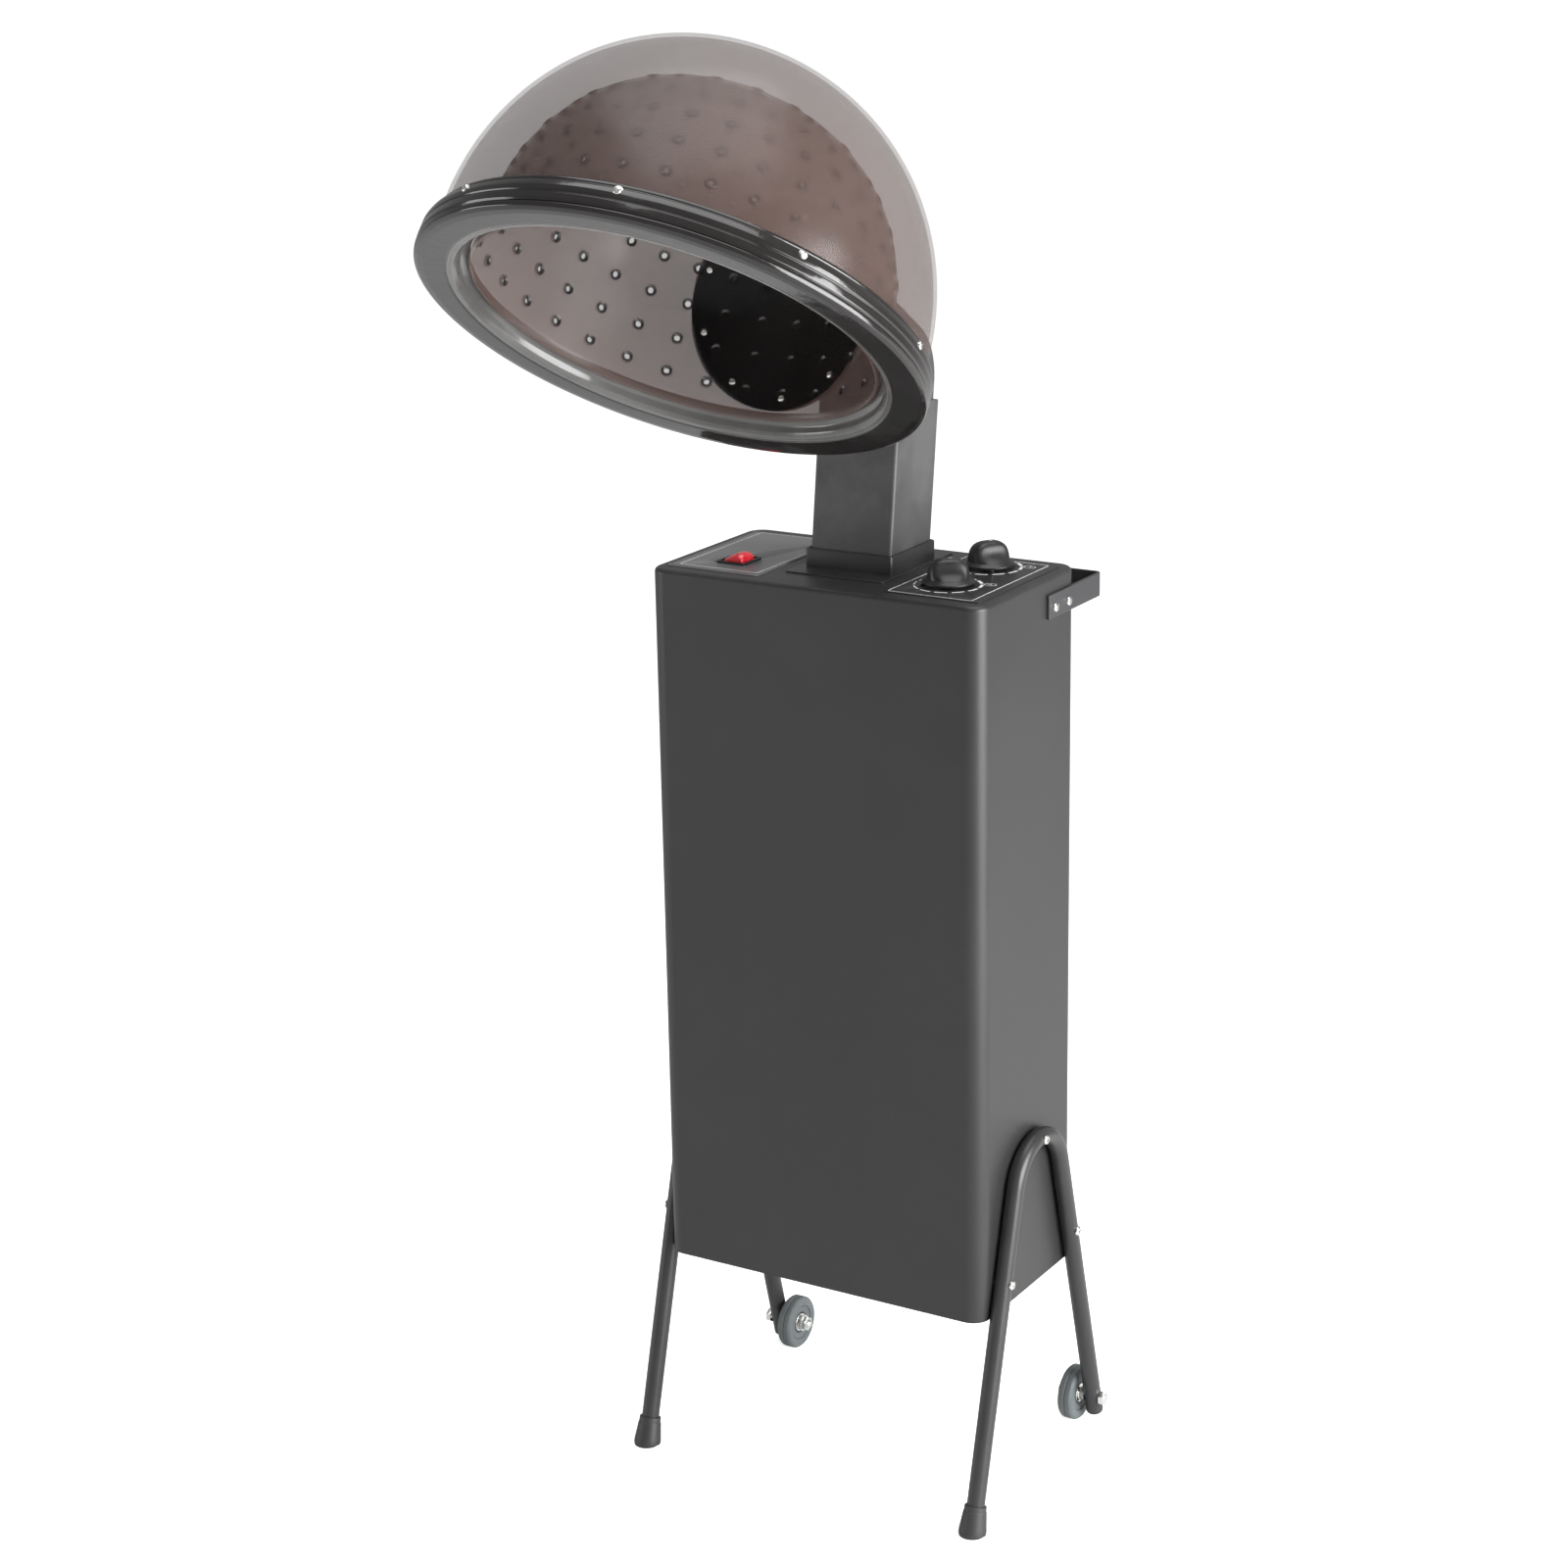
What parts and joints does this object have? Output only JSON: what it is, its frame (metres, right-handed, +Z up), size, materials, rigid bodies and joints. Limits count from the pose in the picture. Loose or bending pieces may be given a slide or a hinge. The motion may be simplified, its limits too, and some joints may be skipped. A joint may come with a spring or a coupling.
{
  "type": "hood hair dryer",
  "caption": "Salon hood hair dryer on a wheeled cabinet stand, with a smoked twin-shell hood on a leaning telescopic column, a rear push handle and dials on top.",
  "frame": {"origin": "on the floor, under the centre of the whole machine's outline seen from above", "axes": "+Z up; the cabinet's front and the hood's mouth face -Y, the push handle is at +Y; +X is on the side of the two dials"},
  "size_m": [0.4126, 0.6038, 1.2957],
  "materials": {
    "cabinet_paint": "textured charcoal powder coat",
    "column_paint": "fine-textured dark grey powder coat",
    "tube_paint": "satin black enamel",
    "strap_paint": "satin black enamel",
    "black_rubber": "moulded black rubber",
    "grey_tyre": "grey non-marking rubber",
    "hub_plastic": "moulded dark nylon hub",
    "bright_zinc": "bright zinc-plated steel",
    "label_grey": "printed grey plate with white border lines",
    "label_black": "printed black plate with white border lines",
    "switch_black": "moulded black switch housing",
    "red_lens": "glossy translucent red rocker",
    "knob_plastic": "satin black moulded knob",
    "collar_plastic": "satin black moulded collar",
    "saddle_plastic": "moulded black nylon",
    "smoke_outer": "smoked clear polycarbonate",
    "smoke_inner": "smoked clear polycarbonate with raised nozzles",
    "rim_black": "glossy black moulding",
    "deflector_black": "glossy black moulding",
    "galvanised": "galvanised steel sheet",
    "motor_paint": "dark enamel",
    "fan_metal": "aluminium",
    "mica": "mica board",
    "heater_wire": "resistance wire",
    "nylon": "natural nylon",
    "phenolic": "moulded phenolic"
  },
  "bodies": {
    "stand": {"cabinet_shell": "cabinet_paint", "rear_panel": "cabinet_paint", "rear_panel_screws": "bright_zinc", "bottom_plate": "cabinet_paint", "bottom_plate_screws": "bright_zinc", "left_leg": "tube_paint", "right_leg": "tube_paint", "leg_screws": "bright_zinc", "leg_screw_nuts": "bright_zinc", "left_foot": "black_rubber", "right_foot": "black_rubber", "tube_plugs": "black_rubber", "axle_bolts": "bright_zinc", "axle_nuts": "bright_zinc", "axle_spacers": "bright_zinc", "push_handle": "strap_paint", "handle_screws": "bright_zinc", "switch_label": "label_grey", "control_label": "label_black", "switch_body": "switch_black", "temperature_control": "phenolic", "timer_control": "galvanised", "column_collar": "collar_plastic", "outer_column": "column_paint", "column_glides": "nylon", "duct_riser": "galvanised", "heater_duct": "galvanised", "heater_frame": "mica", "heater_coil": "heater_wire", "thermal_cutout": "phenolic", "blower_housing": "galvanised", "blower_motor": "motor_paint", "blower_shelf": "galvanised", "terminal_block": "nylon", "cord_gland": "black_rubber"},
    "neck": {"sliding_neck": "column_paint", "tilt_pivots": "bright_zinc", "tilt_washers": "nylon"},
    "hood": {"hinge_saddle": "saddle_plastic", "saddle_gasket": "black_rubber", "saddle_screws": "bright_zinc", "outer_dome": "smoke_outer", "inner_dome": "smoke_inner", "rim_ring": "rim_black", "rim_trim": "rim_black", "rim_screws": "bright_zinc", "air_deflector": "deflector_black", "deflector_screws": "bright_zinc"},
    "left_wheel": {"left_hub": "hub_plastic", "left_tyre": "grey_tyre"},
    "right_wheel": {"right_hub": "hub_plastic", "right_tyre": "grey_tyre"},
    "temperature_dial": {"temperature_knob": "knob_plastic", "temperature_shaft": "bright_zinc"},
    "timer_dial": {"timer_knob": "knob_plastic", "timer_shaft": "bright_zinc"},
    "switch_rocker": {"rocker": "red_lens"},
    "fan": {"blower_wheel": "fan_metal"}
  },
  "joints": [
    {"name": "column_slide", "type": "slide", "parent": "stand", "child": "neck", "axis": [0, 0.1323, 0.9912], "range_m": [0, 0.12]},
    {"name": "hood_tilt", "type": "hinge", "parent": "neck", "child": "hood", "pos_m": [0, 0.10762, 1.05579], "axis": [1, 0, 0], "range_deg": [-10, 28]},
    {"name": "left_wheel_spin", "type": "hinge", "parent": "stand", "child": "left_wheel", "pos_m": [-0.1525, 0.27641, 0.0255], "axis": [1, 0, 0], "continuous": true},
    {"name": "right_wheel_spin", "type": "hinge", "parent": "stand", "child": "right_wheel", "pos_m": [0.1525, 0.27641, 0.0255], "axis": [1, 0, 0], "continuous": true},
    {"name": "temperature_turn", "type": "hinge", "parent": "stand", "child": "temperature_dial", "pos_m": [0.1, 0.12893, 0.83], "axis": [0, 0, 1], "range_deg": [-270, 0]},
    {"name": "timer_turn", "type": "hinge", "parent": "stand", "child": "timer_dial", "pos_m": [0.1, 0.20143, 0.83], "axis": [0, 0, 1], "range_deg": [-300, 0]},
    {"name": "rocker_press", "type": "hinge", "parent": "stand", "child": "switch_rocker", "pos_m": [-0.104, 0.12493, 0.8268], "axis": [0, 1, 0], "range_deg": [0, 16]},
    {"name": "fan_spin", "type": "hinge", "parent": "stand", "child": "fan", "pos_m": [-0.042, 0.16145, 0.575], "axis": [0, 1, 0], "continuous": true}
  ]
}
